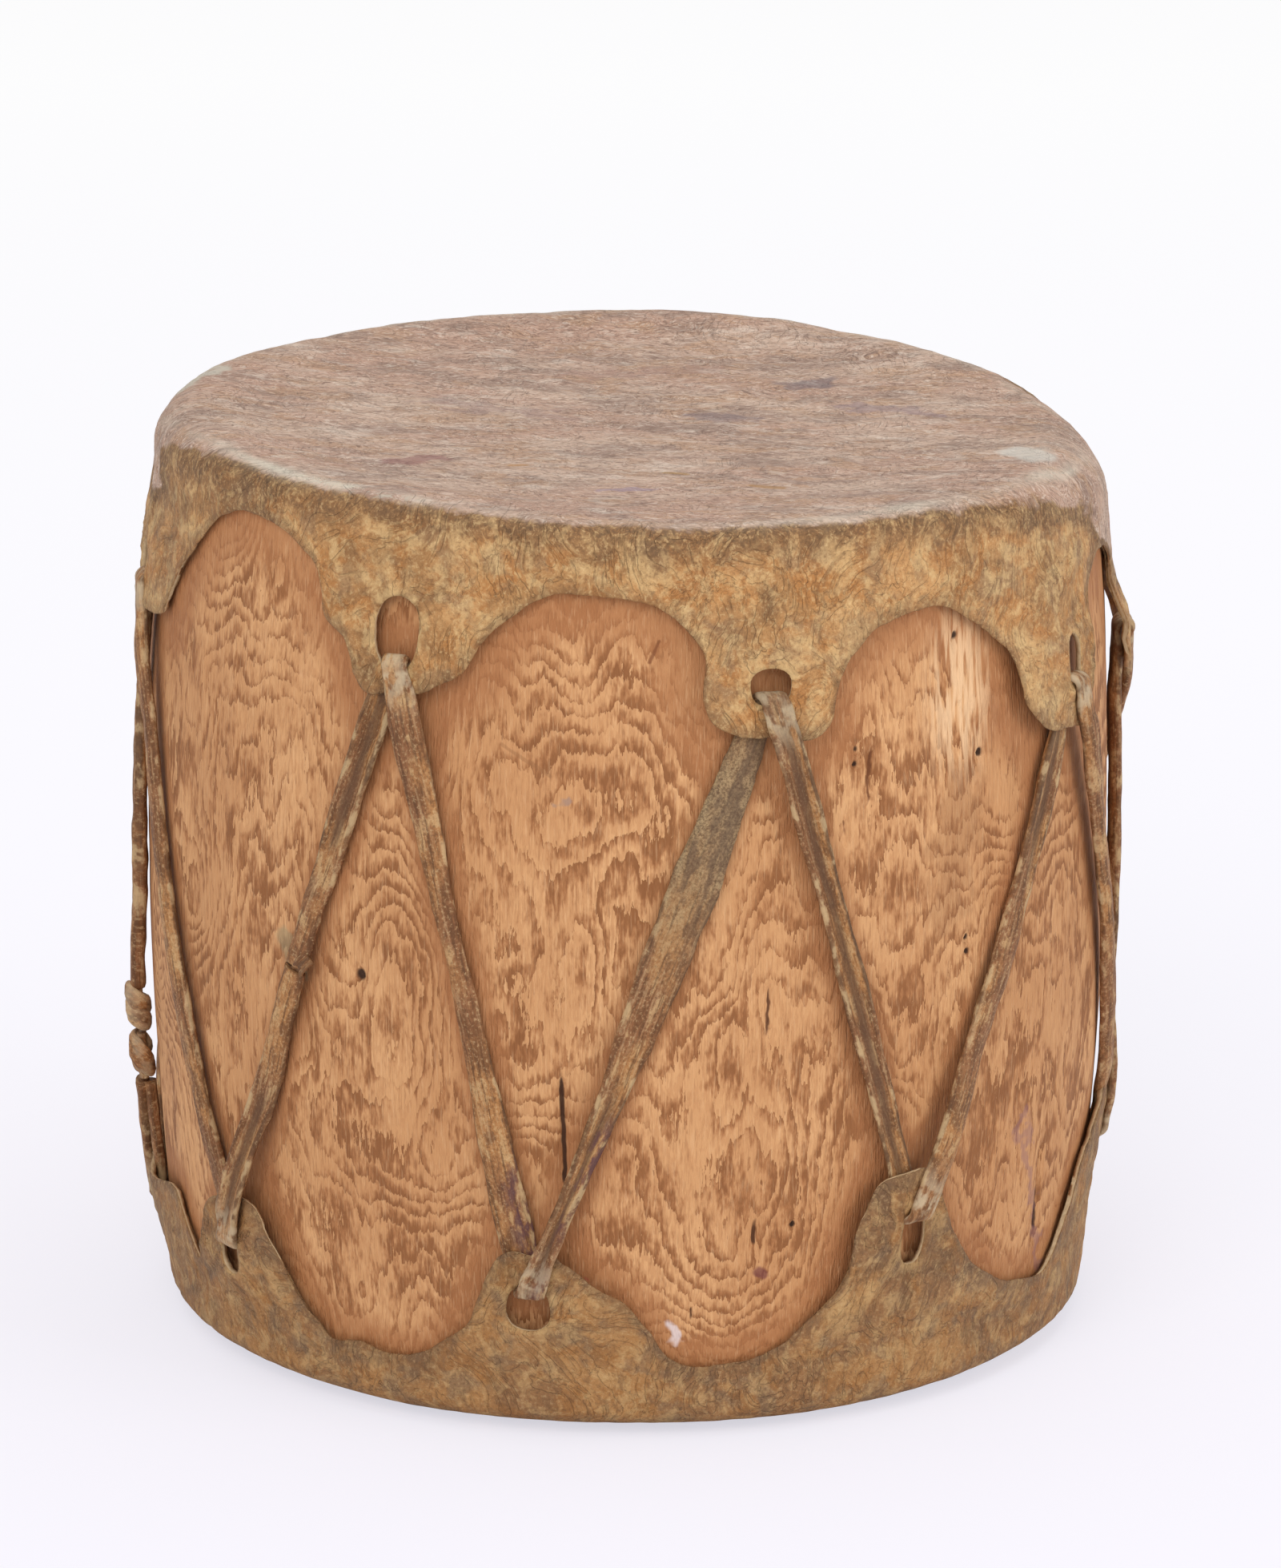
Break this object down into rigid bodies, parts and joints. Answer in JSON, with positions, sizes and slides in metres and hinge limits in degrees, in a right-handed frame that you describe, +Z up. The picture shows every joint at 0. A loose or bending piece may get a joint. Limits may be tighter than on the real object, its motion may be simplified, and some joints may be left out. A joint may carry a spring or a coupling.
{
  "type": "rawhide log drum",
  "caption": "Double-headed drum: a hollowed log with a rawhide head over each end, the two heads laced together by a zigzag rawhide thong through holes in their tabs.",
  "frame": {"origin": "on the log's axis, in the plane that the drum stands on", "axes": "+Z up along the log's axis, from the lower head to the upper head; -Y to the front, the side with the worn splinter between two tabs; +X to the right seen from the front"},
  "size_m": [0.3136, 0.3075, 0.2865],
  "materials": {
    "wood": "bare weathered softwood, worn smooth",
    "rawhide_head": "dried rawhide, matt, mottled",
    "rawhide_lace": "dried rawhide thong, matt"
  },
  "bodies": {
    "root": {"log_shell": "wood", "top_head": "rawhide_head", "bottom_head": "rawhide_head", "short_lace": "rawhide_lace", "long_lace": "rawhide_lace", "lace_tail": "rawhide_lace", "upper_knot": "rawhide_lace", "lower_knot": "rawhide_lace", "splice_end": "rawhide_lace"}
  },
  "joints": []
}
